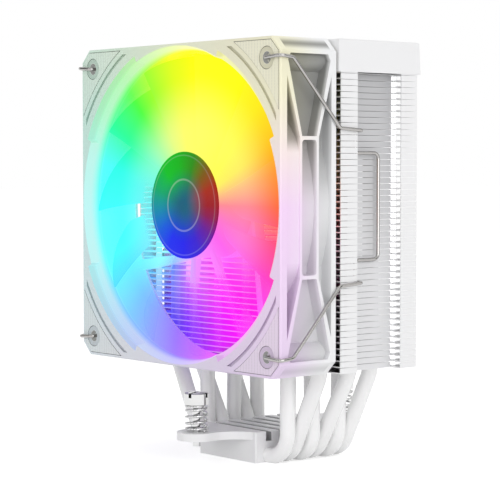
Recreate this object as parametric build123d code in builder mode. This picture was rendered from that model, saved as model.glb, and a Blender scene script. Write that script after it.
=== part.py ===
from build123d import *
import os
from math import cos, radians, sin, sqrt

# A tower cooler for a computer processor: a white painted fin stack on six heat pipes, a cold
# plate block with two sprung screws, a lit 120 mm fan and the two wire clips that hold it.
# Millimetres, +Z up, the fan's face towards -Y, origin at the middle of the cold plate's face.

os.makedirs("parts", exist_ok=True)

# cold plate block and its two arms
block_x = 34.0
block_y = 45.0
block_z = 11.7
groove_w = 2.9
groove_depth = 3.7
arm_t = 3.0
arm_tip_r = 7.4
arm_waist = 1.5
arm_root_x = 17.0
arm_flare_x = 1.4
arm_flare_y = 5.7
screw_spacing = 75.0
block_edge = 0.5

# heat pipes
pipe_d = 6.0
pipe_pitch = 6.4
pipe_axis_z = 2.6
pipe_bend_r = 9.0
pipe_knee_r = 12.0
pipe_lead = 0.6
lean_reach = 0.56
solder_gap = 0.05
inner_leg_x = 27.5
outer_leg_x = 39.0
inner_leg_y = (-15.6, -3.9, 10.2)
outer_leg_y = (-10.3, 4.6, 15.6)
knee_below_stack = 3.2
pipe_above_stack = 6.4
pipe_end_r = 2.0

# fin stack
stack_x = 120.0
stack_y = 38.2
stack_z = 37.3
fin_count = 50
fin_pitch = 2.2
fin_t = 0.4
tab_gap = 0.15
recess_w = 21.9
recess_depth = 5.3
lock_tab_x = 47.6
lock_tab_w = 3.6

# top cover
cover_over_x = 0.4
cover_over_y = 1.4
cover_z = 11.7
cover_wall = 1.4
cover_taper = 2.0
cover_edge = 0.6
sleeve_wall = 1.0
sleeve_gap = 0.1
sleeve_overlap = 4.6

# fan frame
fan_size = 120.0
fan_depth = 26.4
fan_above_stack = -0.1
fan_gap = 2.0
corner_cut = 4.8
frame_edge = 0.4
duct_edge = 2.4
duct_wall = 1.0
rear_flare = 1.4
hole_inset = 7.5
hole_r = 2.2
boss_r = 3.9
corner_post_r = 5.1
front_band = 2.9
rear_band = 2.6
pocket_depth = 5.2
slot_w = 6.8
slot_end_x = 36.1
slot_end_r = 1.2
rib_t = 1.05
cross_bar = 1.3
corner_pocket_edge = 5.9
corner_pocket_round = 2.3
corner_pocket_inset = 0.5
side_pocket_edge = 13.6
side_pocket_over = 1.0
arc_groove_out = 7.95
arc_groove_w = 1.3
arc_groove_depth = 0.8
arc_groove_inset = 2.6
strut_depth = 4.4
strut_root_in = 17.2
strut_root_out = 18.6
strut_in_cup = 1.5
strut_drop = 26.1
strut_end_w = 4.6
cable_notch = 4.0

# corner pads
pad_inset = 1.25
pad_out = 10.7
pad_t = 1.4
pad_proud = 0.15
pad_gap = 0.2

# light ring, its boards and lamps
ring_z = 20.0
ring_mid_out = 1.6
ring_corner_out = 4.0
ring_front_out = 1.4
ring_sector = 21.0
ring_gap = 0.1
ring_skin = 0.4
ring_step_sector = 21.3
ring_step_depth = 3.6
housing_wall = 1.0
housing_z = 17.2
board_t = 0.9
board_w = 2.6
board_out = 2.3
board_sector = 18.0
board_end_gap = 0.3
board_z = 18.1
lamp_size = 2.0
lamp_t = 0.7
lamps_per_board = 3
lamp_step = 12.0

# fan motor
cup_r = 20.4
cup_t = 2.6
tube_r = 5.0
bearing_r = 3.2
tube_top = 17.0
shaft_r = 1.5
running_gap = 0.03
shaft_bottom = 1.5
shaft_clip_z = 2.1
shaft_clip_r = 2.5
clip_t = 0.4
clip_gap = 0.05
clip_groove_r = 1.1
clip_mouth = 1.2
bearing_cap_z = 0.2
bearing_cap_t = 0.9
sleeve_bottom = 3.0
sleeve_top = 16.6
motor_board_r = 17.0
motor_board_z = 3.4
motor_board_t = 1.2
board_notch = 2.8
stator_z = 7.2
stator_t = 5.6
stator_r = 14.4
stator_hub_r = 7.2
tooth_w = 4.6
tooth_tip_t = 1.5
tooth_gap_w = 6.0
coil_side_t = 1.8
coil_end_t = 1.1
coil_gap = 0.05
coil_round = 1.0
magnet_r = 15.3
magnet_t = 1.7
magnet_z = 6.2
magnet_length = 9.2
yoke_t = 0.6
yoke_top = 18.0

# impeller
hub_r = 20.0
hub_wall = 2.2
hub_z = 5.4
hub_top = 21.5
boss_bottom_r = 2.6
cap_t = 0.9
cap_edge = 0.35
blade_count = 11
blade_tip_gap = 1.1
blade_z = 13.3
blade_root_t = 1.55
blade_t = 1.3
blade_tip_t = 1.05
blade_edge_share = 0.5
blade_root_sunk = 1.6
blade_trim = 3.0
shaft_top = 20.0

# wire clips
wire_d = 1.3
wire_gap = 0.35
wire_front_gap = 0.3
hook_depth = 3.4
hook_bend_r = 1.0
clip_shoulder = 6.0
clip_catch_z = 27.4
clip_rise = 0.6
clip_slack = 0.8
clip_ear_gap = 0.9
catch_off_wall = 2.3
handle_half_z = 19.4
handle_depth = 11.6
handle_bend_r = 2.2
shoulder_bends = (2.0, 2.4, 2.0)
catch_bends = (1.2, 1.2, 1.5)

# sprung screws
screw_head_r = 4.6
screw_head_z = 4.4
screw_head_edge = 0.35
screw_r = 1.5
screw_hole_r = 1.75
spring_z = 10.4
spring_r = 4.05
spring_wire = 0.9
spring_gap = 0.05
spring_turns = 4
retainer_t = 0.6
retainer_r = 3.1
retainer_gap = 0.12
retainer_mouth = 1.9
screw_groove_depth = 0.35
screw_end_below = 1.9
drive_slot_w = 1.2
drive_slot_depth = 1.7
drive_slot_turn = 20

# worked out from the above
channel_r = pipe_d / 2 + solder_gap
pipe_rows = [(row - 2.5) * pipe_pitch for row in range(6)]
stack_top = stack_z + (fin_count - 1) * fin_pitch + fin_t
ear_y = recess_w / 2
duct_r = fan_size / 2 - duct_edge
hole_spacing = fan_size - 2 * hole_inset
arc_groove_r = duct_r + arc_groove_out
pad_inner_r = duct_r + pad_out
ring_mid_r = duct_r + ring_mid_out
ring_corner_r = duct_r + ring_corner_out
ring_front_r = duct_r + ring_front_out
board_r = duct_r + board_out
fan_rear_y = -stack_y / 2 - fan_gap
fan_front_y = fan_rear_y - fan_depth
fan_z = stack_z + fan_above_stack + fan_size / 2
fan = Plane(origin=(0, fan_rear_y, fan_z), x_dir=(1, 0, 0), z_dir=(0, -1, 0))
fan_section = Plane(origin=(0, fan_rear_y, fan_z), x_dir=(1, 0, 0), z_dir=(0, 0, -1))
fan_axis = Axis((0, fan_rear_y, fan_z), (0, -1, 0))
fan_turns = [
    Plane(origin=fan.origin, x_dir=(cos(radians(turn)), 0, sin(radians(turn))), z_dir=fan.z_dir)
    for turn in (0, 90, 180, 270)
]
arm_bottom = block_z - arm_t


def save(piece, name):
    piece.part.label = name
    export_step(piece.part, f"parts/{name}.step")


# ---- cold plate block: pipe channels below, cooling grooves above, one arm at each end
with BuildPart() as base_block:
    with BuildSketch():
        Rectangle(block_x, block_y)
    extrude(amount=block_z)
    chamfer(base_block.edges().filter_by(Axis.Z), block_edge)
    with BuildSketch(Plane.XY.offset(arm_bottom)):
        for end in (-1, 1):
            tip_y = end * screw_spacing / 2
            root_y = end * (block_y / 2 - block_edge)
            waist_y = end * (screw_spacing / 2 - arm_waist)
            waist_x = sqrt(arm_tip_r**2 - arm_waist**2)
            flare_x = waist_x + arm_flare_x
            flare_y = end * (block_y / 2 + arm_flare_y)
            with BuildLine():
                ThreePointArc((-waist_x, waist_y), (0, tip_y + end * arm_tip_r), (waist_x, waist_y))
                ThreePointArc((waist_x, waist_y), (flare_x, flare_y), (arm_root_x, root_y))
                Line((arm_root_x, root_y), (-arm_root_x, root_y))
                ThreePointArc((-arm_root_x, root_y), (-flare_x, flare_y), (-waist_x, waist_y))
            make_face()
        with GridLocations(0, screw_spacing, 1, 2):
            Circle(screw_hole_r, mode=Mode.SUBTRACT)
    extrude(amount=arm_t)
    with BuildSketch(Plane.YZ.offset(-block_x / 2)):
        with Locations(*[(row, pipe_axis_z) for row in pipe_rows]):
            Circle(channel_r)
        with Locations(*[(row, block_z) for row in pipe_rows]):
            Rectangle(groove_w, 2 * groove_depth)
    extrude(amount=block_x, mode=Mode.SUBTRACT)
save(base_block, "base_block")


# ---- six heat pipes: each leaves the block on both sides, one leg near, the other further out
def leg_points(side, row_y, leg_x, leg_y):
    """Corner beside the block, knee under the stack and tip of one leg."""
    lean_x = block_x / 2 + pipe_lead + pipe_bend_r * lean_reach
    corner_x = leg_x if leg_x == inner_leg_x else lean_x
    return [
        (side * corner_x, row_y, pipe_axis_z),
        (side * leg_x, leg_y, stack_z - knee_below_stack),
        (side * leg_x, leg_y, stack_top + pipe_above_stack),
    ]


pipe_legs = []
for number in range(6):
    pair = number // 2
    if number % 2 == 0:
        right = (inner_leg_x, inner_leg_y[pair])
        left = (outer_leg_x, -outer_leg_y[2 - pair])
    else:
        right = (outer_leg_x, outer_leg_y[pair])
        left = (inner_leg_x, -inner_leg_y[2 - pair])
    pipe_legs.append((left, right))
pipe_holes = [(-left[0], left[1]) for left, right in pipe_legs]
pipe_holes += [(right[0], right[1]) for left, right in pipe_legs]

for number, (left, right) in enumerate(pipe_legs):
    row_y = pipe_rows[number]
    left_points = leg_points(-1, row_y, *left)
    right_points = leg_points(1, row_y, *right)
    route = left_points[::-1] + right_points
    with BuildPart() as heat_pipe:
        with BuildLine() as pipe_line:
            FilletPolyline(*route, radius=[pipe_knee_r, pipe_bend_r, pipe_bend_r, pipe_knee_r])
        start = pipe_line.line @ 0
        with BuildSketch(Plane(origin=start, x_dir=(1, 0, 0), z_dir=(0, 0, -1))):
            Circle(pipe_d / 2)
        sweep()
        fillet(heat_pipe.faces().filter_by(Axis.Z).edges(), pipe_end_r)
        # the underside is milled flush with the block's face
        with Locations((0, row_y, 0)):
            Box(4 * block_x, 2 * pipe_d, pipe_d, align=(Align.CENTER, Align.CENTER, Align.MAX),
                mode=Mode.SUBTRACT)
    save(heat_pipe, f"heat_pipe_{number + 1}")


# ---- fin stack: thin plates with folded tabs on their ears, in the side recess and at the locks
def fin_outline():
    Rectangle(stack_x, stack_y)
    with GridLocations(stack_x, 0, 2, 1):
        Rectangle(2 * recess_depth, recess_w, mode=Mode.SUBTRACT)
    with Locations(*pipe_holes):
        Circle(channel_r, mode=Mode.SUBTRACT)


ear_length = (stack_y - recess_w) / 2
with BuildPart() as fin:
    with BuildSketch():
        fin_outline()
    extrude(amount=fin_t)
    with BuildSketch():
        with GridLocations(stack_x - fin_t, stack_y - ear_length, 2, 2):
            Rectangle(fin_t, ear_length)
        with GridLocations(stack_x - 2 * recess_depth - fin_t, 0, 2, 1):
            Rectangle(fin_t, recess_w)
        with GridLocations(2 * lock_tab_x, stack_y - fin_t, 2, 2):
            Rectangle(lock_tab_w, fin_t)
    extrude(amount=fin_pitch - tab_gap)

with BuildPart() as fin_stack:
    with Locations(*[(0, 0, stack_z + level * fin_pitch) for level in range(fin_count - 1)]):
        add(fin.part, clean=False)
save(fin_stack, "fin_stack")

with BuildPart() as top_fin:
    with BuildSketch(Plane.XY.offset(stack_top - fin_t)):
        fin_outline()
    extrude(amount=fin_t)
save(top_fin, "top_fin")

# ---- top cover: a shallow shell on the top fin, with sleeves that grip the pipe ends
with BuildPart() as top_cover:
    with BuildSketch(Plane.XY.offset(stack_top)):
        Rectangle(stack_x + 2 * cover_over_x, stack_y + 2 * cover_over_y)
    extrude(amount=cover_z, taper=cover_taper)
    fillet(top_cover.edges().filter_by(Axis.Z, reverse=True).group_by(Axis.Z)[-1], cover_edge)
    with BuildSketch(Plane.XY.offset(stack_top)):
        Rectangle(stack_x + 2 * (cover_over_x - cover_wall), stack_y + 2 * (cover_over_y - cover_wall))
    extrude(amount=cover_z - cover_wall, mode=Mode.SUBTRACT)
    sleeve_z = cover_z - cover_wall - pipe_above_stack + sleeve_overlap
    with BuildSketch(Plane.XY.offset(stack_top + cover_z - cover_wall)):
        with Locations(*pipe_holes):
            Circle(pipe_d / 2 + sleeve_gap + sleeve_wall)
        with Locations(*pipe_holes):
            Circle(pipe_d / 2 + sleeve_gap, mode=Mode.SUBTRACT)
    extrude(amount=-sleeve_z)
save(top_cover, "top_cover")


# ---- fan frame
def corner_outline(inset):
    """The frame's square with its corners cut, drawn in by inset all round."""
    side = fan_size - 2 * inset
    cut = corner_cut - inset * (2 - sqrt(2))
    half = side / 2
    corner = [(half, half - cut), (half - cut, half)]
    points = corner + [(-x, y) for x, y in corner[::-1]]
    points += [(-x, -y) for x, y in points]
    Polygon(*points, align=None)


def pad_outline(grow):
    """Four corner pads, each round its screw boss."""
    corner_outline(pad_inset - grow)
    Circle(pad_inner_r - grow, mode=Mode.SUBTRACT)
    with GridLocations(hole_spacing, hole_spacing, 2, 2):
        Circle(boss_r + pad_gap - grow, mode=Mode.SUBTRACT)


def ring_outline(grow):
    """The light ring's outer edge: a circle at the sides' middles, wider across the corners."""
    reach = 2 * ring_corner_r
    edge = radians(45 - ring_sector)
    wedge = [(0, 0), (reach * cos(edge), reach * sin(edge)), (reach * sin(edge), reach * cos(edge))]
    with PolarLocations(0, 4):
        Polygon(*wedge, align=None)
    Circle(ring_corner_r + grow, mode=Mode.INTERSECT)
    Circle(ring_mid_r + grow)


def arc_outline(middle_r, width, sector):
    """Four arcs across the frame's corners."""
    inner_r = middle_r - width / 2
    outer_r = middle_r + width / 2
    low = radians(45 - sector)
    high = radians(45 + sector)
    for turn in range(4):
        shift = radians(90 * turn)
        a, b, c = low + shift, (low + high) / 2 + shift, high + shift
        with BuildLine() as arc:
            ThreePointArc(*[(outer_r * cos(t), outer_r * sin(t)) for t in (a, b, c)])
            ThreePointArc(*[(inner_r * cos(t), inner_r * sin(t)) for t in (a, b, c)])
            Line((inner_r * cos(a), inner_r * sin(a)), (outer_r * cos(a), outer_r * sin(a)))
            Line((inner_r * cos(c), inner_r * sin(c)), (outer_r * cos(c), outer_r * sin(c)))
        make_face(arc.edges())


strut_reach = duct_r + duct_wall
slot_length = fan_size - 2 * slot_end_x
pocket_front = fan_depth - front_band
pocket_middle = (rear_band + pocket_front) / 2
rib_x = slot_w / 2 + rib_t
corner_low = slot_length / 2 + cross_bar
corner_pocket_top = fan_size / 2 - corner_pocket_edge
corner_shoulder = corner_pocket_top - corner_pocket_round
side_pocket_top = fan_size / 2 - side_pocket_edge
side_pocket_low = slot_length / 2 + side_pocket_over
pocket_half_w = (pocket_front - rear_band) / 2
corner_half_w = pocket_half_w - corner_pocket_inset

with BuildPart() as fan_frame:
    with BuildSketch(fan):
        corner_outline(0)
    extrude(amount=fan_depth)
    chamfer(fan_frame.faces().filter_by(Axis.Y).edges(), frame_edge)
    for turned in fan_turns:
        side_plane = Plane(
            origin=turned.from_local_coords((fan_size / 2, 0, pocket_middle)),
            x_dir=turned.z_dir, z_dir=turned.x_dir)
        with BuildSketch(side_plane) as pockets:
            RectangleRounded(slot_w, slot_length, slot_end_r)
            for up in (-1, 1):
                with BuildLine():
                    Polyline((-slot_w / 2, up * corner_low), (slot_w / 2, up * corner_low),
                             (corner_half_w, up * corner_shoulder),
                             (corner_half_w - corner_pocket_round / 2, up * corner_pocket_top),
                             (corner_pocket_round / 2 - corner_half_w, up * corner_pocket_top),
                             (-corner_half_w, up * corner_shoulder), close=True)
                make_face()
            for across in (-1, 1):
                outer = across * pocket_half_w
                with BuildLine():
                    Polyline((outer, side_pocket_top), (across * rib_x, side_pocket_low),
                             (across * rib_x, -side_pocket_low), (outer, -side_pocket_top), close=True)
                make_face()
        extrude(amount=-pocket_depth, mode=Mode.SUBTRACT)
    with BuildSketch(fan):
        Circle(duct_r + duct_wall)
    extrude(amount=housing_z)
    with BuildSketch(fan.offset(housing_z)):
        Circle(ring_corner_r + ring_gap + housing_wall)
        Rectangle(fan_size - 2 * ring_skin, fan_size - 2 * ring_skin, mode=Mode.INTERSECT)
    extrude(amount=fan_depth - housing_z)
    with BuildSketch(fan):
        with GridLocations(hole_spacing, hole_spacing, 2, 2):
            Circle(corner_post_r)
    extrude(amount=fan_depth)
    with BuildSketch(fan):
        Circle(duct_r)
    extrude(amount=fan_depth, mode=Mode.SUBTRACT)
    with Locations(fan):
        Cone(duct_r + rear_flare, duct_r, 2 * rear_flare,
             align=(Align.CENTER, Align.CENTER, Align.MIN), mode=Mode.SUBTRACT)
    with BuildSketch(fan.offset(ring_z)):
        ring_outline(ring_gap)
    extrude(amount=fan_depth - ring_z, mode=Mode.SUBTRACT)
    with BuildSketch(fan.offset(board_z - ring_gap)):
        arc_outline(board_r, board_w + 2 * ring_gap, board_sector + board_end_gap)
    extrude(amount=ring_z - board_z + ring_gap, mode=Mode.SUBTRACT)
    with BuildSketch(fan.offset(fan_depth - arc_groove_depth)):
        corner_outline(arc_groove_inset)
        Circle(arc_groove_r + arc_groove_w / 2, mode=Mode.INTERSECT)
        Circle(arc_groove_r - arc_groove_w / 2, mode=Mode.SUBTRACT)
    extrude(amount=arc_groove_depth, mode=Mode.SUBTRACT)
    with BuildSketch(fan.offset(fan_depth)):
        pad_outline(pad_gap)
    extrude(amount=pad_proud - pad_t, mode=Mode.SUBTRACT)
    with BuildSketch(fan):
        pad_outline(pad_gap)
    extrude(amount=pad_t - pad_proud, mode=Mode.SUBTRACT)
    # four struts, each leaving the motor cup off its middle, and the motor cup with its tube
    with BuildSketch(fan):
        with PolarLocations(0, 4):
            Polygon((0, -strut_root_in), (0, -strut_root_out), (-strut_reach, -strut_drop - strut_end_w / 2),
                    (-strut_reach, -strut_drop + strut_end_w / 2), align=None)
        Circle(duct_r + duct_wall / 2, mode=Mode.INTERSECT)
        Circle(cup_r - strut_in_cup, mode=Mode.SUBTRACT)
    extrude(amount=strut_depth)
    with BuildSketch(fan):
        Circle(cup_r)
    extrude(amount=cup_t)
    with BuildSketch(fan):
        Circle(tube_r)
    extrude(amount=tube_top)
    with BuildSketch(fan):
        Circle(bearing_r)
        with GridLocations(hole_spacing, hole_spacing, 2, 2):
            Circle(hole_r)
    extrude(amount=fan_depth, mode=Mode.SUBTRACT)
    with BuildSketch(fan):
        with Locations((-fan_size / 2, -strut_drop)):
            Rectangle(2 * cable_notch, cable_notch)
    extrude(amount=rear_band, mode=Mode.SUBTRACT)
save(fan_frame, "fan_frame")

with BuildPart() as front_pads:
    with BuildSketch(fan.offset(fan_depth + pad_proud)):
        pad_outline(0)
    extrude(amount=-pad_t)
save(front_pads, "front_corner_pads")

with BuildPart() as rear_pads:
    with BuildSketch(fan.offset(-pad_proud)):
        pad_outline(0)
    extrude(amount=pad_t)
save(rear_pads, "rear_corner_pads")

# ---- light ring: a funnel of frosted plastic round the opening, with boards and lamps behind it
with BuildPart() as light_ring:
    with BuildSketch(fan_section):
        with BuildLine():
            Polyline((duct_r, ring_z), (ring_corner_r, ring_z), (ring_corner_r, fan_depth),
                     (ring_front_r, fan_depth), close=True)
        make_face()
    revolve(axis=fan_axis)
    with BuildSketch(fan.offset(ring_z)):
        ring_outline(0)
    extrude(amount=fan_depth - ring_z, mode=Mode.INTERSECT)
    with BuildSketch(fan.offset(fan_depth)):
        arc_outline(duct_r + ring_corner_out / 2, ring_corner_out + 1, ring_step_sector)
    extrude(amount=-ring_step_depth, mode=Mode.SUBTRACT)
save(light_ring, "light_ring")

with BuildPart() as light_boards:
    with BuildSketch(fan.offset(board_z)):
        arc_outline(board_r, board_w, board_sector)
    extrude(amount=board_t)
save(light_boards, "light_boards")

with BuildPart() as ring_lamps:
    with BuildSketch(fan.offset(board_z + board_t)):
        for turn in range(4):
            for step in range(lamps_per_board):
                angle = 45 + 90 * turn + (step - (lamps_per_board - 1) / 2) * lamp_step
                with PolarLocations(board_r, 1, start_angle=angle):
                    Rectangle(lamp_size, lamp_size)
    extrude(amount=lamp_t)
save(ring_lamps, "ring_lamps")

# ---- fan motor, still parts
with BuildPart() as bearing_sleeve:
    with BuildSketch(fan.offset(sleeve_bottom)):
        Circle(bearing_r - running_gap)
        Circle(shaft_r + running_gap, mode=Mode.SUBTRACT)
    extrude(amount=sleeve_top - sleeve_bottom)
save(bearing_sleeve, "bearing_sleeve")

with BuildPart() as bearing_cap:
    with BuildSketch(fan.offset(bearing_cap_z)):
        Circle(bearing_r - running_gap)
    extrude(amount=bearing_cap_t)
save(bearing_cap, "bearing_cap")

with BuildPart() as motor_board:
    with BuildSketch(fan.offset(motor_board_z)):
        Circle(motor_board_r)
        Circle(tube_r + running_gap, mode=Mode.SUBTRACT)
        with Locations((-motor_board_r, 0)):
            Rectangle(2 * board_notch, 2 * board_notch, mode=Mode.SUBTRACT)
    extrude(amount=motor_board_t)
save(motor_board, "motor_board")

with BuildPart() as stator_core:
    with BuildSketch(fan.offset(stator_z)):
        Circle(stator_hub_r)
        Rectangle(2 * stator_r - tooth_tip_t, tooth_w)
        Rectangle(tooth_w, 2 * stator_r - tooth_tip_t)
        with BuildSketch(mode=Mode.PRIVATE) as tooth_tips:
            Circle(stator_r)
            Circle(stator_r - tooth_tip_t, mode=Mode.SUBTRACT)
            for slant in (45, -45):
                Rectangle(2 * stator_r, tooth_gap_w, mode=Mode.SUBTRACT, rotation=slant)
        add(tooth_tips.sketch)
        Circle(tube_r + running_gap, mode=Mode.SUBTRACT)
    extrude(amount=stator_t)
save(stator_core, "stator_core")

coil_w = tooth_w + 2 * (coil_gap + coil_side_t)
coil_h = stator_t + 2 * (coil_gap + coil_end_t)
coil_inner = stator_hub_r + coil_gap
coil_outer = sqrt((stator_r - tooth_tip_t) ** 2 - (coil_w / 2) ** 2) - coil_gap
with BuildPart() as stator_coils:
    for coil_plane in fan_turns:
        coil_end = Plane(origin=coil_plane.from_local_coords((coil_inner, 0, stator_z + stator_t / 2)),
                         x_dir=coil_plane.y_dir, z_dir=coil_plane.x_dir)
        with BuildSketch(coil_end):
            RectangleRounded(coil_w, coil_h, coil_round)
            Rectangle(tooth_w + 2 * coil_gap, stator_t + 2 * coil_gap, mode=Mode.SUBTRACT)
        extrude(amount=coil_outer - coil_inner)
save(stator_coils, "stator_coils")

# ---- parts that turn with the impeller
with BuildPart() as rotor_magnet:
    with BuildSketch(fan.offset(magnet_z)):
        Circle(magnet_r + magnet_t)
        Circle(magnet_r, mode=Mode.SUBTRACT)
    extrude(amount=magnet_length)
save(rotor_magnet, "rotor_magnet")

yoke_r = magnet_r + magnet_t + running_gap
with BuildPart() as rotor_yoke:
    with BuildSketch(fan.offset(magnet_z)):
        Circle(yoke_r + yoke_t)
    extrude(amount=yoke_top - magnet_z)
    with BuildSketch(fan.offset(magnet_z)):
        Circle(yoke_r)
    extrude(amount=yoke_top - yoke_t - magnet_z, mode=Mode.SUBTRACT)
    with BuildSketch(fan.offset(yoke_top - yoke_t)):
        Circle(boss_bottom_r + running_gap)
    extrude(amount=yoke_t, mode=Mode.SUBTRACT)
save(rotor_yoke, "rotor_yoke")

with BuildPart() as fan_shaft:
    with BuildSketch(fan.offset(shaft_bottom)):
        Circle(shaft_r)
    extrude(amount=shaft_top - shaft_bottom)
    with BuildSketch(fan.offset(shaft_clip_z - clip_gap)):
        Circle(shaft_r)
        Circle(clip_groove_r, mode=Mode.SUBTRACT)
    extrude(amount=clip_t + 2 * clip_gap, mode=Mode.SUBTRACT)
save(fan_shaft, "fan_shaft")

with BuildPart() as shaft_clip:
    with BuildSketch(fan.offset(shaft_clip_z)):
        Circle(shaft_clip_r)
        Circle(clip_groove_r + clip_gap, mode=Mode.SUBTRACT)
        with Locations((shaft_clip_r, 0)):
            Rectangle(2 * shaft_clip_r, clip_mouth, mode=Mode.SUBTRACT)
    extrude(amount=clip_t)
save(shaft_clip, "shaft_clip")


# ---- impeller: blades are lofted between three slanted, cambered sections
def blade_section(radius, chord, pitch, camber, sweep_ahead, thickness):
    """A cambered slat at one radius, thinner at its two edges, turned by its pitch."""
    def at(along, lift):
        u = along * chord
        v = lift
        tilt = radians(pitch)
        return (u * cos(tilt) - v * sin(tilt) + sweep_ahead, u * sin(tilt) + v * cos(tilt))

    edge = thickness * blade_edge_share / 2
    with BuildSketch(Plane(origin=(radius, 0, 0), x_dir=(0, 1, 0), z_dir=(1, 0, 0))) as section:
        with BuildLine():
            ThreePointArc(at(-0.5, -edge), at(0, camber - thickness / 2), at(0.5, -edge))
            Line(at(0.5, -edge), at(0.5, edge))
            ThreePointArc(at(0.5, edge), at(0, camber + thickness / 2), at(-0.5, edge))
            Line(at(-0.5, edge), at(-0.5, -edge))
        make_face()
    return section.sketch


tip_r = duct_r - blade_tip_gap
blade_sections = [
    blade_section(hub_r - blade_root_sunk, 14.0, 48, 1.5, 0.0, blade_root_t),
    blade_section((hub_r + tip_r) / 2, 24.5, 37, 2.2, 2.0, blade_t),
    blade_section(tip_r + blade_trim, 34.0, 26, 2.6, 7.0, blade_tip_t),
]
with BuildPart() as blade:
    loft(sections=blade_sections)
    Cylinder(tip_r, 4 * hub_r, mode=Mode.INTERSECT)

with BuildPart() as impeller:
    with Locations(fan.offset(blade_z)):
        with PolarLocations(0, blade_count):
            add(blade.part)
    with BuildSketch(fan.offset(hub_z)):
        Circle(hub_r)
    extrude(amount=hub_top - hub_z)
    with BuildSketch(fan):
        Circle(hub_r - hub_wall)
    extrude(amount=yoke_top + running_gap, mode=Mode.SUBTRACT)
    with BuildSketch(fan.offset(yoke_top - yoke_t)):
        Circle(boss_bottom_r)
    extrude(amount=hub_top - yoke_top)
    with BuildSketch(fan):
        Circle(shaft_r)
    extrude(amount=shaft_top, mode=Mode.SUBTRACT)
save(impeller, "impeller")

with BuildPart() as hub_cap:
    with BuildSketch(fan.offset(hub_top)):
        Circle(hub_r)
    extrude(amount=cap_t)
    fillet(hub_cap.edges().sort_by(Axis.Y)[0], cap_edge)
save(hub_cap, "hub_cap")


# ---- wire fan clips: hooked in the fan's front holes, caught behind the stack's ears
def clip_route(side):
    catch_x = stack_x / 2 - recess_depth + catch_off_wall
    hole_x = hole_spacing / 2
    out_x = max(fan_size, stack_x) / 2 + wire_gap + wire_d / 2
    front_y = fan_front_y - pad_proud - wire_front_gap - wire_d / 2
    catch_y = -ear_y + clip_ear_gap + wire_d / 2
    pull_y = catch_y + handle_depth
    half = [
        (hole_x, front_y + hook_depth, hole_spacing / 2),
        (hole_x, front_y, hole_spacing / 2),
        (out_x, front_y, hole_spacing / 2 + clip_rise),
        (out_x, front_y + clip_shoulder, hole_spacing / 2),
        (out_x, fan_rear_y + clip_slack, clip_catch_z + clip_slack),
        (out_x, catch_y, clip_catch_z),
        (catch_x, catch_y, clip_catch_z),
        (catch_x, catch_y, handle_half_z),
        (catch_x, pull_y, handle_half_z),
    ]
    lower = [(x, y, -z) for x, y, z in half[::-1]]
    return [(side * x, y, fan_z + z) for x, y, z in half + lower]


upper_bends = [hook_bend_r, *shoulder_bends, *catch_bends, handle_bend_r]
for side, clip_name in ((1, "fan_clip_right"), (-1, "fan_clip_left")):
    with BuildPart() as fan_clip:
        with BuildLine() as wire_line:
            FilletPolyline(*clip_route(side), radius=upper_bends + upper_bends[::-1])
        with BuildSketch(Plane(origin=wire_line.line @ 0, z_dir=wire_line.line % 0)):
            Circle(wire_d / 2)
        sweep()
    save(fan_clip, clip_name)

# ---- sprung screws: head, spring under it, shank through the arm, retainer below
retainer_z = arm_bottom - retainer_gap - retainer_t
for end, end_name in ((-1, "front"), (1, "rear")):
    screw_y = end * screw_spacing / 2
    with BuildPart() as screw:
        with BuildSketch(Plane(origin=(0, screw_y, block_z + spring_z))):
            Circle(screw_head_r)
        extrude(amount=screw_head_z)
        chamfer(screw.edges().filter_by(GeomType.CIRCLE).group_by(Axis.Z)[-1], screw_head_edge)
        with BuildSketch(Plane(origin=(0, screw_y, block_z + spring_z + screw_head_z))):
            for slot_turn in (drive_slot_turn, drive_slot_turn + 90):
                Rectangle(3 * screw_head_r, drive_slot_w, rotation=slot_turn)
        extrude(amount=-drive_slot_depth, mode=Mode.SUBTRACT)
        with BuildSketch(Plane(origin=(0, screw_y, retainer_z - screw_end_below))):
            Circle(screw_r)
        extrude(amount=block_z + spring_z - retainer_z + screw_end_below)
        with BuildSketch(Plane(origin=(0, screw_y, retainer_z - clip_gap))):
            Circle(screw_r)
            Circle(screw_r - screw_groove_depth, mode=Mode.SUBTRACT)
        extrude(amount=retainer_t + 2 * clip_gap, mode=Mode.SUBTRACT)
    save(screw, f"{end_name}_screw")

    with BuildPart() as spring:
        coil_start_z = block_z + spring_gap + spring_wire / 2
        coil_rise = spring_z - spring_wire - 2 * spring_gap
        with BuildLine():
            Helix(coil_rise / spring_turns, coil_rise, spring_r, center=(0, screw_y, coil_start_z))
        with BuildSketch(Plane(origin=(spring_r, screw_y, coil_start_z), z_dir=(0, 1, 0))):
            Circle(spring_wire / 2)
        sweep(is_frenet=True)
    save(spring, f"{end_name}_spring")

    with BuildPart() as retainer:
        with BuildSketch(Plane(origin=(0, screw_y, retainer_z))):
            Circle(retainer_r)
            Circle(screw_r - screw_groove_depth + clip_gap, mode=Mode.SUBTRACT)
            with Locations((retainer_r, 0)):
                Rectangle(2 * retainer_r, retainer_mouth, mode=Mode.SUBTRACT)
        extrude(amount=retainer_t)
    save(retainer, f"{end_name}_retainer")
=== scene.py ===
import bpy
import bmesh
from math import pi, radians
from mathutils import Matrix, Vector


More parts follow.
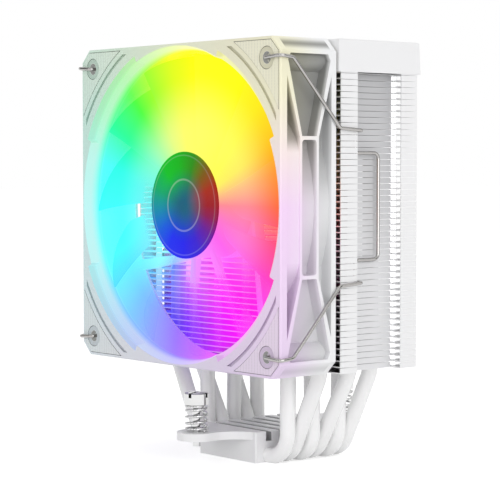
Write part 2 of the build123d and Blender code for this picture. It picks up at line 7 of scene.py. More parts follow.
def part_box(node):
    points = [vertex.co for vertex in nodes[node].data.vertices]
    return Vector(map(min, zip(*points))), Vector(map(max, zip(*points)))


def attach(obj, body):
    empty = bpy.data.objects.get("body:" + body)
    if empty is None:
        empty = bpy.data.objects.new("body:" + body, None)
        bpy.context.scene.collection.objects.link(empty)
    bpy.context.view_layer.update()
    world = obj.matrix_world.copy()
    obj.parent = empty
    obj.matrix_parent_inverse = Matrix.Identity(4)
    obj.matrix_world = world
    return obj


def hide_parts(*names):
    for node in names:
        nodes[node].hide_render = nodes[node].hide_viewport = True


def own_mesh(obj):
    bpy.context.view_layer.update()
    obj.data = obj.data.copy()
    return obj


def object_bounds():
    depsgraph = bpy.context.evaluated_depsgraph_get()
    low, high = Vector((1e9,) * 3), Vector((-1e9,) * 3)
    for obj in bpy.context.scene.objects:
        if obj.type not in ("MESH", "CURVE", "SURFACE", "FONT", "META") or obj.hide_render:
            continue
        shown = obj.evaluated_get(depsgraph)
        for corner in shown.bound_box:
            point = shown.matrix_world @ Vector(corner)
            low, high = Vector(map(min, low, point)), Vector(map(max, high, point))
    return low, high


# A white tower cooler with a lit 120 mm fan, looked at from the fan's front and right side.

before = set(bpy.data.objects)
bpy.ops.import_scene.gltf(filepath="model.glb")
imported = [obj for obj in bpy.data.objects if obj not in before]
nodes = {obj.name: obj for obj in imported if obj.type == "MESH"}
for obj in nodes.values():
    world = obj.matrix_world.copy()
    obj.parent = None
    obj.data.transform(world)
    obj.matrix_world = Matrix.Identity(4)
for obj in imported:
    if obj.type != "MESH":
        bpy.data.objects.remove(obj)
cadLow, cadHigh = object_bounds()
mm = 0.001
fanLow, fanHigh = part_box("fan_frame")
fanHeart = Vector((0, fanLow.y, (fanLow.z + fanHigh.z) / 2))    # middle of the fan's front face
stackLow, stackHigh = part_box("fin_stack")
print("frame loaded:", len(nodes), "nodes")


def span(*sizes):                               # millimetres as metres
    return tuple(size * mm for size in sizes)


def arc(*degrees):                              # degrees as shares of a turn
    return tuple(degree / 360 for degree in degrees)


# ---- shader values

class Strand:                                   # a socket that can be used in sums
    def __init__(self, tree, socket=None):
        self.tree = tree
        self.socket = socket

    def join(self, value, target):
        if isinstance(value, Strand):
            self.tree.links.new(value.socket, target)
        else:
            target.default_value = value

    def node(self, kind, settings=None, values=None, out=0):
        made = self.tree.nodes.new(kind)
        for key, setting in (settings or {}).items():
            if key == "stops":
                fillRamp(made.color_ramp, setting)
            else:
                setattr(made, key, setting)
        for key, value in (values or {}).items():
            self.join(value, made.inputs[key])
        return Strand(self.tree, made.outputs[out])

    def other(self, name):                      # another output of the same node
        return Strand(self.tree, self.socket.node.outputs[name])

    def maths(self, operation, second=0.0):
        return self.node("ShaderNodeMath", {"operation": operation}, {0: self, 1: second})

    def __add__(self, second):
        return self.maths("ADD", second)

    def __sub__(self, second):
        return self.maths("SUBTRACT", second)

    def __mul__(self, second):
        return self.maths("MULTIPLY", second)

    def __truediv__(self, second):
        return self.maths("DIVIDE", second)

    def __radd__(self, first):
        return self.maths("ADD", first)

    def __rmul__(self, first):
        return self.maths("MULTIPLY", first)

    def __rsub__(self, first):
        return self.node("ShaderNodeMath", {"operation": "SUBTRACT"}, {0: first, 1: self})

    def step(self, low, high):                  # 0 at low, 1 at high, smooth between
        return self.node("ShaderNodeMapRange", {"interpolation_type": "SMOOTHSTEP"},
                         {"Value": self, "From Min": low, "From Max": high})

    def fall(self, low, high):                  # 1 at low, 0 at high
        return 1 - self.step(low, high)

    def band(self, riseFrom, riseTo, fallFrom, fallTo):
        return self.step(riseFrom, riseTo) * self.fall(fallFrom, fallTo)

    def ramp(self, stops):
        return self.node("ShaderNodeValToRGB", {"stops": stops}, {"Fac": self})


def fillRamp(ramp, stops):
    while len(ramp.elements) < len(stops):
        ramp.elements.new(1.0)
    for element, (place, hue) in zip(ramp.elements, stops):
        element.position = place
        element.color = paint(hue)


def paint(code, strength=1.0):                  # "ffcc00" as a linear colour
    parts = [int(code[i:i + 2], 16) / 255 for i in (0, 2, 4)]
    linear = [p / 12.92 if p < 0.04045 else ((p + 0.055) / 1.055) ** 2.4 for p in parts]
    return tuple(strength * p for p in linear) + (1.0,)


def mix(factor, first, second, way="MIX"):
    tree = next(v for v in (factor, first, second) if isinstance(v, Strand))
    return tree.node("ShaderNodeMix", {"data_type": "RGBA", "blend_type": way},
                     {0: factor, 6: first, 7: second}, out=2)


def filtered(first, second):                    # one colour seen through another
    return mix(1.0, first, second, "MULTIPLY")


def newFinish(name, **fixed):                   # a principled material, and a strand to build with
    material = bpy.data.materials.new(name)
    material.use_nodes = True
    tree = material.node_tree
    shader = tree.nodes["Principled BSDF"].inputs
    for key, value in fixed.items():
        shader[key.replace("_", " ")].default_value = value
    return material, Strand(tree), shader


def objectSpot(s):                              # x, y and z on the object
    place = s.node("ShaderNodeTexCoord", out="Object")
    spot = s.node("ShaderNodeSeparateXYZ", values={0: place})
    return spot, spot.other("Y"), spot.other("Z")


def fanSpot(s, lean=0.0, rise=0.0):             # turn about the fan's axis, radius and depth behind its face
    x, y, z = objectSpot(s)
    depth = y - fanHeart.y
    up = z - fanHeart.z
    if lean:                                    # the lamps throw their colours sideways as they go in
        away = depth - glow["throwFrom"]
        x = x + (lean - glow["spread"] * x) * away
        up = up + rise * away
    radius = (x * x + up * up).maths("SQRT")
    turn = (up.maths("ARCTAN2", x) / (2 * pi)).maths("FRACT")
    return turn, radius, depth


def speckle(s, scale, detail=2.0):
    place = s.node("ShaderNodeTexCoord", out="Object")
    return s.node("ShaderNodeTexNoise", values={"Vector": place, "Scale": scale, "Detail": detail})


def grain(s, scale, depth, distance=0.02 * mm):      # fine relief of paint or moulded plastic
    height = speckle(s, scale)
    return s.node("ShaderNodeBump", values={"Strength": depth, "Distance": distance, "Height": height})


def ring(hues):                                 # hues given round the fan in degrees, closed to a full turn
    return [(degrees / 360, hue) for degrees, hue in hues] + [(1.0, hues[0][1])]


# colours of the fan's light, painted as emission on the parts it reaches
glow = {
    "rim": ring([(0, "ff6a30"), (15, "ff9420"), (30, "ffc915"), (45, "ffec08"), (62, "ffff06"),
                 (92, "ffff0a"), (106, "e2ff14"), (120, "a8ff28"), (134, "4cff40"), (150, "24ff9a"),
                 (165, "30ffea"), (185, "3cffff"), (200, "48fcff"), (213, "56defd"), (227, "64b4ff"),
                 (242, "7e90fc"), (257, "8a66fb"), (272, "b85cfb"), (287, "e652fa"), (302, "fc3cf8"),
                 (316, "ff36e4"), (331, "ff3cae"), (346, "ff4a72")]),
    "core": ring([(0, "ff8c98"), (14, "ffc084"), (28, "fff064"), (45, "ffff58"), (105, "ffff6c"),
                  (120, "eaff84"), (136, "b4ffa8"), (150, "86fdd0"), (170, "70f6f4"), (200, "7cf0ff"),
                  (225, "8aeeff"), (241, "92acfd"), (256, "c8a0ff"), (272, "ea90fe"), (290, "f680fc"),
                  (316, "fc66ee"), (340, "ff78cc")]),
    "coreRadius": 27 * mm,
    "rimRadius": 50 * mm,
    "throwFrom": 10 * mm,
    "lean": 1.27,
    "spread": 2.35,
    "rise": 0.07,
    "clearTurns": arc(200, 236, 304, 334),
    "clearRadius": span(24, 33),
}


def rainbow(s):
    turn, radius, depth = fanSpot(s, glow["lean"], glow["rise"])
    share = radius.step(glow["coreRadius"], glow["rimRadius"])
    return mix(share, turn.ramp(glow["core"]), turn.ramp(glow["rim"])), turn, radius, depth


def lowerHalf(turn, radius):                    # where the fan is clear enough to see the fins behind it
    return turn.band(*glow["clearTurns"]) * radius.step(*glow["clearRadius"])


# ---- finishes, several with painted glow and painted shade

white = {
    "metal": "f2f2f3",
    "plastic": "f3f4f5",
    "roughness": 0.36,
    "metalRoughness": 0.3,
}


def whiteMetal():
    material, s, shader = newFinish("whiteMetal", Base_Color=paint(white["metal"]), Coat_Roughness=0.12)
    s.join(white["metalRoughness"] + 0.12 * speckle(s, 900.0, 3.0), shader["Roughness"])
    s.join(grain(s, 2600.0, 0.12), shader["Normal"])
    return material


# painted shade in the grooves on top of the base block: its colour and where it sits
block = {
    "grooveShade": "a4a4a4",
    "grooveFloor": span(7.8, 7.9),
    "grooveTop": span(0.6, 0.2),                # below the top of the block
    "halfX": span(16.6, 16.8),
    "halfY": span(22.0, 22.2),
}


def blockPaintAndShade():                               # the white metal, with painted shade darkening the grooves on top
    material = whiteMetal()
    material.name = "blockPaintAndShade"
    shader = material.node_tree.nodes["Principled BSDF"].inputs
    s = Strand(material.node_tree)
    low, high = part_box("base_block")
    x, y, z = objectSpot(s)
    inside = x.maths("ABSOLUTE").fall(*block["halfX"]) * y.maths("ABSOLUTE").fall(*block["halfY"])
    topFrom, topTo = (high.z - below for below in block["grooveTop"])
    # painted shade: the groove walls and floors are darkened
    shadedGroove = inside * z.band(*block["grooveFloor"], topFrom, topTo)
    s.join(mix(shadedGroove, paint(white["metal"]), paint(block["grooveShade"])), shader["Base Color"])
    return material


# where the fan's light is painted as a glow on the fins and pipes, and the dark base colour under that
# painted glow
stack = {
    "glowWide": span(51, 53),
    "glowDepth": span(26, 34),
    "glowRadius": span(56, 60),
    "earWide": span(-59.55, -59.4, -53, -51),   # the left front ears, which the fan's mouth shows
    "earDepth": span(5.2, 6.8),
    "glowBase": "141414",
}


def stackGlow(x, y, radius):                    # the part of the fin stack where the fan's light is painted on as emission
    behind = y - stackLow.y
    middle = x.maths("ABSOLUTE").fall(*stack["glowWide"]) * behind.fall(*stack["glowDepth"])
    leftEar = x.band(*stack["earWide"]) * behind.fall(*stack["earDepth"])
    return radius.fall(*stack["glowRadius"]) * middle.maths("MAXIMUM", leftEar)


pipes = {
    "hue": "fcfcfc",
    "gloss": 0.7,
    "strength": 0.9,
    "depth": 0.7,                               # how much deeper the light's colour is on them
    "litAbove": 1 * mm,
}


# white glossy paint, with the fan's light painted on as a glow where the pipes pass between the fins
def pipePaintAndGlow():
    material, s, shader = newFinish("pipePaintAndGlow", Coat_Roughness=0.08)
    s.join(0.2 + 0.1 * speckle(s, 260.0), shader["Roughness"])
    s.join(grain(s, 420.0, 0.08, 0.05 * mm), shader["Normal"])
    hue, turn, radius, depth = rainbow(s)
    x, y, z = objectSpot(s)
    # painted glow: here the white gives way to a dark base and the fan's colours are emitted
    lit = z.step(stackLow.z, stackLow.z + pipes["litAbove"]) * stackGlow(x, y, radius)
    s.join(mix(lit, paint(pipes["hue"]), paint(stack["glowBase"])), shader["Base Color"])
    s.join(pipes["gloss"] * (1 - lit), shader["Coat Weight"])
    deep = mix(pipes["depth"], hue, filtered(hue, hue))
    s.join(filtered(deep, lit), shader["Emission Color"])
    shader["Emission Strength"].default_value = pipes["strength"]
    return material


fins = {
    # painted shade for the inner fin faces at the right front corner
    "dark": "1c1616",
    "edgeDepth": span(0.1, 0.25),
    "gapShare": 0.8,
    "gapDepth": 0.85,
    "lineWhite": 0.12,
    "cornerX": span(46, 54),
    "cornerDepth": span(7.0, 8.0),
    "outerFace": span(59.3, 59.55),
    "wallWide": span(53.2, 53.6, 55.0, 55.4),   # floor of the side recess, which gets painted shade
    "wallDepth": span(7.9, 8.2, 30, 30.4),
    "wallHeight": span(60, 150),
    "wallShadeLow": "e8e8ea",
    "wallShadeHigh": "c8c8ca",
    # where painted light brightens the step at the rear ears
    "rearWide": span(43, 45, 50, 52),
    "rearDepth": span(33, 35, 37.8, 37.95),
    "rearPaintedLight": 0.7,
}


def finPaintGlowAndShade():                                 # white outside and dim between the fins, where the fan's light is painted on as emission; painted shade at the front corner and side recess
    material, s, shader = newFinish("finPaintGlowAndShade", Roughness=0.34)
    hue, turn, radius, depth = rainbow(s)
    x, y, z = objectSpot(s)
    wide = x.maths("ABSOLUTE")
    behind = y - stackLow.y
    inner = behind.step(*fins["edgeDepth"])
    # painted shade: the inner faces of the fins at the right front corner go near black
    corner = x.step(*fins["cornerX"]) * behind.fall(*fins["cornerDepth"]) * wide.fall(*fins["outerFace"])
    lit = stackGlow(x, y, radius)
    low = lowerHalf(turn, radius)
    deep = mix(fins["gapDepth"], hue, filtered(hue, hue))
    gap = mix(low, hue, filtered(deep, paint("ffffff", fins["gapShare"])))
    line = mix(fins["lineWhite"] * low, hue, paint("ffffff"))
    # painted shade on the floor of the side recess, darker towards the top
    shadedRecess = wide.band(*fins["wallWide"]) * behind.band(*fins["wallDepth"])
    shade = mix(z.step(*fins["wallHeight"]), paint(fins["wallShadeLow"]), paint(fins["wallShadeHigh"]))
    base = mix(shadedRecess, paint(white["metal"]), shade)
    base = mix(corner * inner, base, paint(fins["dark"]))
    s.join(mix(lit, base, paint(stack["glowBase"])), shader["Base Color"])
    # painted light: a white glow on the step at the rear ears
    paintedLightRear = wide.band(*fins["rearWide"]) * behind.band(*fins["rearDepth"])
    # painted glow: fin edges and gaps take the fan's colours as emission
    shone = filtered(mix(inner, line, gap), lit)
    s.join(mix(paintedLightRear, shone, paint("ffffff", fins["rearPaintedLight"])), shader["Emission Color"])
    shader["Emission Strength"].default_value = 1.0
    return material


diffuser = {
    "share": 0.42,
    "strength": 0.74,
    "clearDepth": span(2.4, 7.6),
    "paleShade": "6c6c6c",
    "deepShade": "181818",
}


def ringFrost():                                # frosted funnel, pale at the face and full of colour inside
    material, s, shader = newFinish("ringFrost", Roughness=0.4, Coat_Weight=0.1, Coat_Roughness=0.25)
    hue, turn, radius, depth = rainbow(s)
    full = depth.step(*diffuser["clearDepth"])
    pale = mix(diffuser["share"], paint("ffffff"), hue)
    base = mix(full, filtered(pale, paint(diffuser["paleShade"])), paint(diffuser["deepShade"]))
    s.join(base, shader["Base Color"])
    s.join(mix(full, filtered(pale, paint("ffffff", diffuser["strength"])), hue), shader["Emission Color"])
    shader["Emission Strength"].default_value = 1.0
    s.join(grain(s, 1800.0, 0.08), shader["Normal"])
    return material


framePlastic = {
    # hues of the fan's light painted on the frame near its face
    "paintedSpill": ring([(0, "f9d9fb"), (18, "fdeceb"), (34, "f6f2d2"), (60, "efecd2"), (90, "ebf0d6"),
                  (120, "dcefdb"), (150, "cdeee2"), (180, "cdf1ef"), (212, "d8eaee"), (240, "dfe2ea"),
                  (270, "dedcec"), (300, "e4d4ee"), (330, "f0d8f6")]),
    "faceDepth": span(0.05, 0.2),
    "boreRadius": span(57.9, 58.2),
    "wellDepth": span(6.5, 6.8),
    "wellEdge": span(59.25, 59.4),
    "wellRadius": span(61.8, 61.9),
    "spillDepth": span(1.0, 24),
    "pocketEdge": span(57.6, 59.9),
    "pocketDepth": span(2.5, 3.0, 23.6, 24),
    "pocketFrom": span(44, 50),
    "pocketHeight": span(-10, 42),
    # painted shade in the side pockets, darker towards the top
    "pocketShadeHigh": "9c9c9a",
    "pocketShadeLow": "e6e6e6",
    # painted shade in the ring groove on the frame's face
    "grooveRadius": 65.55 * mm,
    "grooveHalf": span(0.75, 0.8),
    "grooveDepth": span(1.0, 1.1),
    "grooveEdge": span(58, 58.2),
    "grooveShade": "9a9a9a",
    "grooveShare": 0.35,
    # painted shade in the gaps round the corner pads
    "seamDepth": span(2, 2.2),
    "seamEdge": span(59.1, 59.2),
    "seamRadius": span(67.8, 68.0),
    "seamCorner": span(113.6, 113.8),           # measured along both sides of a cut corner
    "gapShade": "868884",
    "holeOff": 52.5 * mm,
    "holeRadius": span(2.25, 2.35),
    # painted light emitted inside the screw holes
    "holeGlow": "9a9a98",
    "holeGlowStrength": 0.55,
    # painted shade round the screw holes
    "bossRadius": span(3.85, 3.95),
    "bossShade": "a8a8a8",
    "bossShare": 0.4,
    # the fan's light painted on the duct walls as a glow
    "ductWhite": 0.5,
    "ductFace": 0.6,
    "ductGain": 0.38,
    "ductDepth": span(2, 7),
}


def fanPlasticGlowAndShade():                               # white frame with its own light painted on near the face, painted shade in its pockets, grooves, gaps and holes, and a duct painted to glow
    material, s, shader = newFinish("fanPlasticGlowAndShade", Coat_Weight=0.15, Coat_Roughness=0.2)
    part = framePlastic
    hue, turn, radius, depth = rainbow(s)
    faceTurn, faceRadius, depth = fanSpot(s)
    x, y, z = objectSpot(s)
    wide = x.maths("ABSOLUTE")
    height = z - fanHeart.z
    tall = height.maths("ABSOLUTE")
    outer = wide.maths("MAXIMUM", tall)
    sunk = depth.step(*part["faceDepth"])
    bore = faceRadius.fall(*part["boreRadius"])
    well = sunk * depth.fall(*part["wellDepth"]) * outer.fall(*part["wellEdge"])
    well = well * faceRadius.fall(*part["wellRadius"])
    duct = bore.maths("MAXIMUM", well)
    # painted light: the fan's light spilling on the white frame, fading with depth
    spilledAndShaded = mix(depth.fall(*part["spillDepth"]), paint(white["plastic"]), faceTurn.ramp(part["paintedSpill"]))
    # painted shade in the side pockets of the frame, darker towards the top
    shadedPocket = outer.fall(*part["pocketEdge"]) * depth.band(*part["pocketDepth"])
    shadedPocket = shadedPocket * outer.step(*part["pocketFrom"])
    shade = mix(height.step(*part["pocketHeight"]), paint(part["pocketShadeLow"]), paint(part["pocketShadeHigh"]))
    spilledAndShaded = mix(shadedPocket, spilledAndShaded, filtered(spilledAndShaded, shade))
    # painted shade: the ring groove on the face is darkened
    shadedGroove = sunk * (faceRadius - part["grooveRadius"]).maths("ABSOLUTE").fall(*part["grooveHalf"])
    shadedGroove = shadedGroove * depth.fall(*part["grooveDepth"]) * outer.fall(*part["grooveEdge"])
    spilledAndShaded = mix(part["grooveShare"] * shadedGroove, spilledAndShaded, filtered(spilledAndShaded, paint(part["grooveShade"])))
    # painted shade: the pocket walls round the corner pads are darkened
    gapShade = sunk * depth.fall(*part["seamDepth"]) * outer.fall(*part["seamEdge"])
    gapShade = gapShade * faceRadius.step(*part["seamRadius"]) * (wide + tall).fall(*part["seamCorner"])
    spilledAndShaded = mix(gapShade, spilledAndShaded, paint(part["gapShade"]))
    sideways = wide - part["holeOff"]
    upwards = tall - part["holeOff"]
    fromHole = (sideways * sideways + upwards * upwards).maths("SQRT")
    # painted shade round and inside the screw holes
    boss = fromHole.fall(*part["bossRadius"])
    spilledAndShaded = mix(part["bossShare"] * boss, spilledAndShaded, filtered(spilledAndShaded, paint(part["bossShade"])))
    # painted glow: the duct walls get a dim base colour and the fan's colours as emission
    pale = mix(part["ductWhite"], paint("ffffff"), hue)
    s.join(mix(duct, spilledAndShaded, mix(0.8, pale, paint("101010"))), shader["Base Color"])
    shone = mix(depth.step(*diffuser["clearDepth"]), pale, hue)
    shone = filtered(shone, duct * (part["ductFace"] + part["ductGain"] * depth.step(*part["ductDepth"])))
    # painted light: a grey glow inside the screw holes
    hole = fromHole.fall(*part["holeRadius"])
    s.join(mix(hole, shone, paint(part["holeGlow"], part["holeGlowStrength"])), shader["Emission Color"])
    shader["Emission Strength"].default_value = 1.0
    s.join(white["roughness"] + 0.1 * speckle(s, 1500.0), shader["Roughness"])
    s.join(grain(s, 3200.0, 0.1), shader["Normal"])
    return material


blade = {
    "clear": 0.08,                              # how much of a blade shows where the fan is clear
    "rootRadius": span(19.6, 22),
    "rimRadius": span(46, 53),
    "rimTurns": arc(290, 320),
    "sideTurns": arc(160, 172, 236, 240),       # the window at the left of the hub
    "sideRadius": span(31, 35),
}


def bladePlasticGlow():                             # frosted blades with the hub's light painted on as emission
    material, s, shader = newFinish("bladePlasticGlow", Base_Color=paint("181818"), Roughness=0.5,
                                    Specular_IOR_Level=0.08)
    hue, turn, radius, depth = rainbow(s)
    # painted glow: the hub's colours as emission
    s.join(hue, shader["Emission Color"])
    shader["Emission Strength"].default_value = 1.0
    rim = radius.step(*blade["rimRadius"]) * turn.step(*blade["rimTurns"])
    side = turn.band(*blade["sideTurns"]) * radius.fall(*blade["sideRadius"])
    clear = lowerHalf(turn, radius).maths("MAXIMUM", side) * radius.step(*blade["rootRadius"]) * (1 - rim)
    s.join(1 - (1 - blade["clear"]) * clear, shader["Alpha"])
    return material


hub = {
    "hues": ring([(0, "9c1020"), (22, "a8280e"), (45, "7a5a0a"), (70, "2c8e10"), (100, "10b418"),
                  (130, "08c024"), (160, "08a868"), (190, "0a88b0"), (215, "0c5cdc"), (240, "1028f0"),
                  (270, "1410ec"), (300, "3410d0"), (325, "64109c"), (345, "8c0c50")]),
    "middle": "14607c",
    "middleRadius": span(1, 15),
    "edgeRadius": span(18.3, 18.5, 18.8, 19.0),
    "edgeShare": 0.14,
    "markRadius": 9.6 * mm,
    "markHalf": span(0.24, 0.48),
    "markShare": 0.28,
    "strength": 0.95,
}


def hubGlossGlow():                                 # dark gloss over a soft spectrum of painted glow, with two thin plain rings
    material, s, shader = newFinish("hubGlossGlow", Roughness=0.3, Coat_Weight=0.12, Coat_Roughness=0.08,
                                    Specular_IOR_Level=0.12)
    turn, radius, depth = fanSpot(s)
    hue = mix(radius.step(*hub["middleRadius"]), paint(hub["middle"]), turn.ramp(hub["hues"]))
    edge = radius.band(*hub["edgeRadius"])
    mark = (radius - hub["markRadius"]).maths("ABSOLUTE").fall(*hub["markHalf"])
    shown = mix(hub["edgeShare"] * edge + hub["markShare"] * mark, hue, mix(0.45, paint("ffffff"), hue))
    s.join(filtered(shown, paint("404040")), shader["Base Color"])
    # painted glow: the hub's colours are emitted
    s.join(shown, shader["Emission Color"])
    shader["Emission Strength"].default_value = hub["strength"]
    return material


pad = {
    "hue": "fcfcfa",
    "spillShare": 0.8,
    "ridgePitch": 1.55 * mm,
    "ridgeSpan": (0.5, 0.62, 0.82, 0.94),
    "ridgeHue": "8a8c8a",
    "ridgeShare": 0.12,
    "dotPitch": 1.1 * mm,
    "dotSpan": (0.1, 0.25),
    "frontDepth": span(0.0, 0.12),
    "backDepth": span(26.45, 26.5),
}


def padRubberSpillAndShade():                                # pale pads with rows of fine ridges, the fan's light painted on their faces and painted shade on their sides
    material, s, shader = newFinish("padRubberSpillAndShade", Roughness=0.6, Specular_IOR_Level=0.3)
    turn, radius, depth = fanSpot(s)
    x, y, z = objectSpot(s)
    column = (x / pad["ridgePitch"]).maths("FRACT")
    row = (z / pad["dotPitch"]).maths("FRACT")
    ridge = column.band(*pad["ridgeSpan"]) * row.step(*pad["dotSpan"])
    # painted light: the fan's light spilled on the pads
    paintedSpill = mix(pad["spillShare"], paint("ffffff"), turn.ramp(framePlastic["paintedSpill"]))
    # painted shade on the pad sides, between the front and back faces
    flat = depth.fall(*pad["frontDepth"]).maths("MAXIMUM", depth.step(*pad["backDepth"]))
    base = mix(flat, paint(framePlastic["gapShade"]), filtered(paint(pad["hue"]), paintedSpill))
    s.join(mix(pad["ridgeShare"] * ridge, base, paint(pad["ridgeHue"])), shader["Base Color"])
    s.join(s.node("ShaderNodeBump", values={"Strength": 0.35, "Distance": 0.1 * mm, "Height": 1 - ridge}),
           shader["Normal"])
    return material


def brightSteel(name, hue):
    material, s, shader = newFinish(name, Base_Color=paint(hue), Metallic=1.0)
    s.join(0.07 + 0.06 * speckle(s, 700.0), shader["Roughness"])
    return material


def plainFinish(name, hue, metallic, roughness, scale=800.0):     # hidden motor pieces
    material, s, shader = newFinish(name, Metallic=metallic)
    noise = speckle(s, scale, 3.0)
    s.join(mix(noise, paint(hue, 0.75), paint(hue)), shader["Base Color"])
    s.join(roughness + 0.15 * noise, shader["Roughness"])
    return material


metal = whiteMetal()
pipe = pipePaintAndGlow()
steel = brightSteel("brightSteel", "d8d8d8")
wire = brightSteel("clipWire", "b0aeac")
motorSteel = plainFinish("motorSteel", "9a9a9c", 1.0, 0.35)
board = plainFinish("circuitBoard", "e9e9e2", 0.0, 0.4)
wears = {
    "base_block": blockPaintAndShade(), "fin_stack": finPaintGlowAndShade(), "top_fin": metal, "top_cover": metal,
    "fan_frame": fanPlasticGlowAndShade(), "front_corner_pads": padRubberSpillAndShade(), "light_ring": ringFrost(),
    "light_boards": board, "ring_lamps": plainFinish("lampPackage", "f6f2cc", 0.0, 0.25),
    "bearing_sleeve": plainFinish("bearingBronze", "a8793f", 1.0, 0.4),
    "bearing_cap": plainFinish("bearingCap", "ececee", 0.0, 0.4),
    "motor_board": board, "stator_core": motorSteel,
    "stator_coils": plainFinish("copperWire", "b8683a", 1.0, 0.3, 2400.0),
    "rotor_magnet": plainFinish("magnet", "2c2c2e", 0.0, 0.6), "rotor_yoke": motorSteel,
    "fan_shaft": motorSteel, "shaft_clip": motorSteel,
    "impeller": bladePlasticGlow(), "hub_cap": hubGlossGlow(),
    "fan_clip_right": wire, "fan_clip_left": wire,
    "front_screw": steel, "rear_screw": steel, "front_retainer": steel, "rear_retainer": steel,
    "front_spring": steel, "rear_spring": steel,
}
wears["rear_corner_pads"] = wears["front_corner_pads"]
for number in range(1, 7):
    wears[f"heat_pipe_{number}"] = pipe
for name, material in wears.items():
    nodes[name].data.materials.clear()
    nodes[name].data.materials.append(material)
print("finishes on", len(wears), "nodes")


# ---- springs

spring = {
    "wire": 0.9 * mm,
    "sides": 12,
    "steps": 28,                                # to a turn
    "openTurns": 3.2,
    "endTurns": 0.9,
    "endPitch": 1.04,                           # in wires to a turn
    "keep": 0.615,                              # how much of it is left when its screw is down
}


def windSpring(node, steel):
    low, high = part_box(node)
    middle = (low + high) / 2
    coil = bmesh.new()
    bmesh.ops.create_circle(coil, segments=spring["sides"], radius=spring["wire"] / 2)
    bmesh.ops.rotate(coil, verts=coil.verts, cent=(0, 0, 0), matrix=Matrix.Rotation(pi / 2, 3, "X"))
    reach = (high.x - low.x - spring["wire"]) / 2
    bmesh.ops.translate(coil, verts=coil.verts, vec=(reach, 0, spring["wire"] / 2))
    shut = spring["wire"] * spring["endPitch"] * spring["endTurns"]      # rise of a closed end
    rises = (shut, high.z - low.z - spring["wire"] - 2 * shut, shut)
    turns = (spring["endTurns"], spring["openTurns"], spring["endTurns"])
    last = coil.edges[:]
    for rise, turn in zip(rises, turns):
        steps = round(turn * spring["steps"])
        spun = bmesh.ops.spin(coil, geom=last, cent=(0, 0, 0), axis=(0, 0, 1), dvec=(0, 0, rise / steps),
                              angle=2 * pi * turn, steps=steps)
        last = [part for part in spun["geom_last"] if isinstance(part, bmesh.types.BMEdge)]
    bmesh.ops.holes_fill(coil, edges=[e for e in coil.edges if e.is_boundary])
    bmesh.ops.recalc_face_normals(coil, faces=coil.faces)
    bmesh.ops.translate(coil, verts=coil.verts, vec=(middle.x, middle.y, low.z))
    for face in coil.faces:
        face.smooth = len(face.verts) == 4
    mesh = bpy.data.meshes.new(node + "Coil")
    coil.to_mesh(mesh)
    coil.free()
    mesh.materials.append(steel)
    piece = bpy.data.objects.new(node + "Coil", mesh)
    bpy.context.scene.collection.objects.link(piece)
    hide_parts(node)
    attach(piece, "cooler")
    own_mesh(piece)


windSpring("front_spring", steel)
windSpring("rear_spring", steel)
print("springs wound")


# ---- floor, light and camera

studio = {
    "floorHalf": 6.0,
    "floorHue": "f4f4f4",
    "floorLift": 0.48,
    "ambient": 0.6,
    "keyPower": 6.2,
    "keySpot": (1.2, -0.3, 0.2),
    "keySize": 0.9,
    "fillPower": 3.0,
    "fillSpot": (0.25, -1.2, 0.3),
    "fillSize": 1.0,
    "topPower": 1.8,
    "topSpot": (0.1, 0.2, 1.3),
    "topSize": 1.0,
    "flagTurns": (30, 75, 125, 170, 215, 262, 288),     # dark strips that only gloss and metal show
    "flagAway": 0.85,
    "flagWidth": 0.2,
    "flagHeight": 0.9,
    "flagBase": 0.05,
    "aim": (0, 0, 0.08),
}


def straightLook(s):                            # 1 for what the camera, a gloss or clear stuff sees
    ray = s.node("ShaderNodeLightPath", out="Is Camera Ray")
    return (ray + ray.other("Is Glossy Ray") + ray.other("Is Transmission Ray")).maths("MINIMUM", 1.0)


def makeFloor():
    shape = bmesh.new()
    bmesh.ops.create_grid(shape, x_segments=1, y_segments=1, size=studio["floorHalf"])
    bmesh.ops.translate(shape, verts=shape.verts, vec=(0, 0, cadLow.z))
    mesh = bpy.data.meshes.new("floor")
    shape.to_mesh(mesh)
    shape.free()
    floor = bpy.data.objects.new("floor", mesh)
    bpy.context.scene.collection.objects.link(floor)
    material, s, shader = newFinish("floorPaper", Base_Color=paint(studio["floorHue"]), Roughness=0.9,
                                    Specular_IOR_Level=0.0)
    s.join(mix(straightLook(s), paint("000000"), paint("ffffff")), shader["Emission Color"])
    shader["Emission Strength"].default_value = studio["floorLift"]
    mesh.materials.append(material)


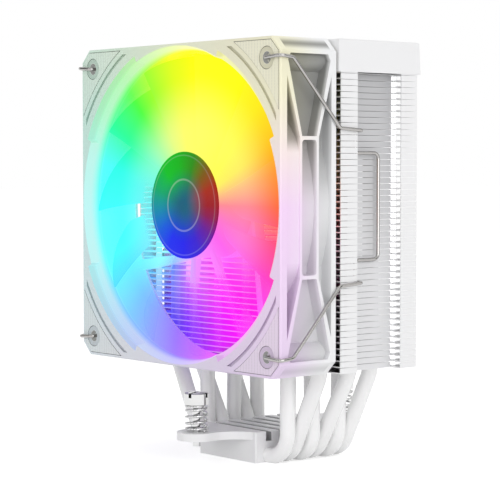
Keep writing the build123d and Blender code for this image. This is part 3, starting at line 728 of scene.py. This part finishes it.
def makeFlags():
    material, s, shader = newFinish("flagCloth", Base_Color=paint("080808"), Roughness=1.0,
                                    Specular_IOR_Level=0.0)
    for number, turn in enumerate(studio["flagTurns"]):
        shape = bmesh.new()
        bmesh.ops.create_grid(shape, x_segments=1, y_segments=1, size=0.5)
        bmesh.ops.scale(shape, verts=shape.verts, vec=(studio["flagWidth"], studio["flagHeight"], 1))
        bmesh.ops.rotate(shape, verts=shape.verts, cent=(0, 0, 0), matrix=Matrix.Rotation(pi / 2, 3, "X"))
        middle = studio["flagBase"] + studio["flagHeight"] / 2
        bmesh.ops.translate(shape, verts=shape.verts, vec=(0, studio["flagAway"], middle))
        placed = Matrix.Rotation(radians(turn - 90), 3, "Z")
        bmesh.ops.rotate(shape, verts=shape.verts, cent=(0, 0, 0), matrix=placed)
        mesh = bpy.data.meshes.new(f"flag{number}")
        shape.to_mesh(mesh)
        shape.free()
        mesh.materials.append(material)
        flag = bpy.data.objects.new(f"flag{number}", mesh)
        bpy.context.scene.collection.objects.link(flag)
        flag.visible_camera = flag.visible_diffuse = flag.visible_shadow = False


def makeWorld():
    world = bpy.data.worlds.new("studio")
    world.use_nodes = True
    bpy.context.scene.world = world
    tree = world.node_tree
    s = Strand(tree)
    back = tree.nodes["Background"].inputs
    back["Color"].default_value = (1.0, 1.0, 1.0, 1.0)
    s.join(studio["ambient"] + (1.0 - studio["ambient"]) * straightLook(s), back["Strength"])


def addLamp(name, power, spot, size):
    light = bpy.data.lights.new(name, "AREA")
    light.energy = power
    light.size = size
    lamp = bpy.data.objects.new(name, light)
    bpy.context.scene.collection.objects.link(lamp)
    lamp.location = spot
    lamp.rotation_euler = (Vector(studio["aim"]) - Vector(spot)).to_track_quat("-Z", "Y").to_euler()


camera = {
    "place": (0.53945, -0.46360, 0.11309),
    "target": (0.01193, -0.02110, 0.08022),
    "lens": 131.77,
    "sensor": 36.0,
    "near": 0.01,
    "far": 50.0,
}


def addCamera():
    data = bpy.data.cameras.new("camera")
    data.lens = camera["lens"]
    data.sensor_width = camera["sensor"]
    data.clip_start = camera["near"]
    data.clip_end = camera["far"]
    eye = bpy.data.objects.new("camera", data)
    bpy.context.scene.collection.objects.link(eye)
    eye.location = camera["place"]
    look = Vector(camera["target"]) - Vector(camera["place"])
    eye.rotation_euler = look.to_track_quat("-Z", "Y").to_euler()
    bpy.context.scene.camera = eye


makeFloor()
makeFlags()
makeWorld()
addLamp("keyLamp", studio["keyPower"], studio["keySpot"], studio["keySize"])
addLamp("fillLamp", studio["fillPower"], studio["fillSpot"], studio["fillSize"])
addLamp("topLamp", studio["topPower"], studio["topSpot"], studio["topSize"])
addCamera()
bpy.context.scene.view_settings.view_transform = "Standard"
print("studio ready")
